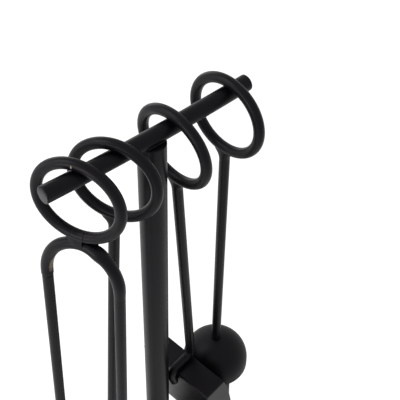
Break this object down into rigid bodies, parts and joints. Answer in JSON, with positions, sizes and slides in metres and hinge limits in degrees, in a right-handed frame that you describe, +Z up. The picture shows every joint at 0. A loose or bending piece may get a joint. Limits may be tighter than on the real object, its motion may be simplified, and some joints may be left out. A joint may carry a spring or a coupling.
{
  "type": "fireplace tool set",
  "caption": "Free-standing fireplace tool set: tongs, poker, shovel and brush with ring handles, hung from a crossbar on a round post with a disc foot.",
  "frame": {"origin": "on the floor under the post's axis", "axes": "+Z up along the post; X along the hanging bar, brush at +X and tongs at -X; -Y faces the viewer"},
  "size_m": [0.2482, 0.2, 0.6326],
  "materials": {
    "black_steel": "matt black powder coat",
    "rubber": "moulded",
    "screw_steel": "zinc plated",
    "core_plastic": "turned",
    "bristle": "stiff filament"
  },
  "bodies": {
    "stand": {"base_plate": "black_steel", "base_pads": "rubber", "base_screw": "screw_steel", "post_tube": "black_steel", "post_foot_plug": "black_steel", "post_top_plug": "black_steel", "hanging_bar": "black_steel"},
    "tongs": {"tongs_ring": "black_steel"},
    "tongs_left_arm": {"tongs_left_shoulder": "black_steel", "tongs_left_leg": "black_steel", "tongs_left_grip": "black_steel"},
    "tongs_right_arm": {"tongs_right_shoulder": "black_steel", "tongs_right_leg": "black_steel", "tongs_right_grip": "black_steel"},
    "poker": {"poker_ring": "black_steel", "poker_rod": "black_steel", "poker_hook": "black_steel"},
    "shovel": {"shovel_ring": "black_steel", "shovel_rod": "black_steel", "shovel_pan": "black_steel"},
    "brush": {"brush_ring": "black_steel", "brush_rod": "black_steel", "brush_dome": "black_steel", "brush_core": "core_plastic", "brush_bristles": "bristle"}
  },
  "joints": [
    {"name": "tongs_slide_off", "type": "slide", "parent": "stand", "child": "tongs", "axis": [-0.999, 0, 0.0442], "range_m": [0, 0.06]},
    {"name": "tongs_left_squeeze", "type": "hinge", "parent": "tongs", "child": "tongs_left_arm", "pos_m": [-0.07783, -0.00213, 0.53833], "axis": [-0.8946, -0.4421, 0.0655], "range_deg": [0, 3], "stiffness_Nm_per_rad": 40},
    {"name": "tongs_right_squeeze", "type": "hinge", "parent": "tongs", "child": "tongs_right_arm", "pos_m": [-0.07783, -0.00213, 0.53833], "axis": [0.8946, 0.4421, -0.0655], "range_deg": [0, 3], "stiffness_Nm_per_rad": 40},
    {"name": "poker_swing", "type": "hinge", "parent": "stand", "child": "poker", "pos_m": [-0.0368, 0, 0.61354], "axis": [0.9998, 0, -0.0187], "range_deg": [-30, 30]},
    {"name": "shovel_swing", "type": "hinge", "parent": "stand", "child": "shovel", "pos_m": [0.0218, 0, 0.61332], "axis": [0.9999, 0, 0.0111], "range_deg": [-2.5, 1.5]},
    {"name": "brush_slide_off", "type": "slide", "parent": "stand", "child": "brush", "axis": [0.9989, 0, 0.0477], "range_m": [0, 0.05]}
  ],
  "couplings": [
    {"joint": "tongs_right_squeeze", "follows": "tongs_left_squeeze", "ratio": 1}
  ]
}
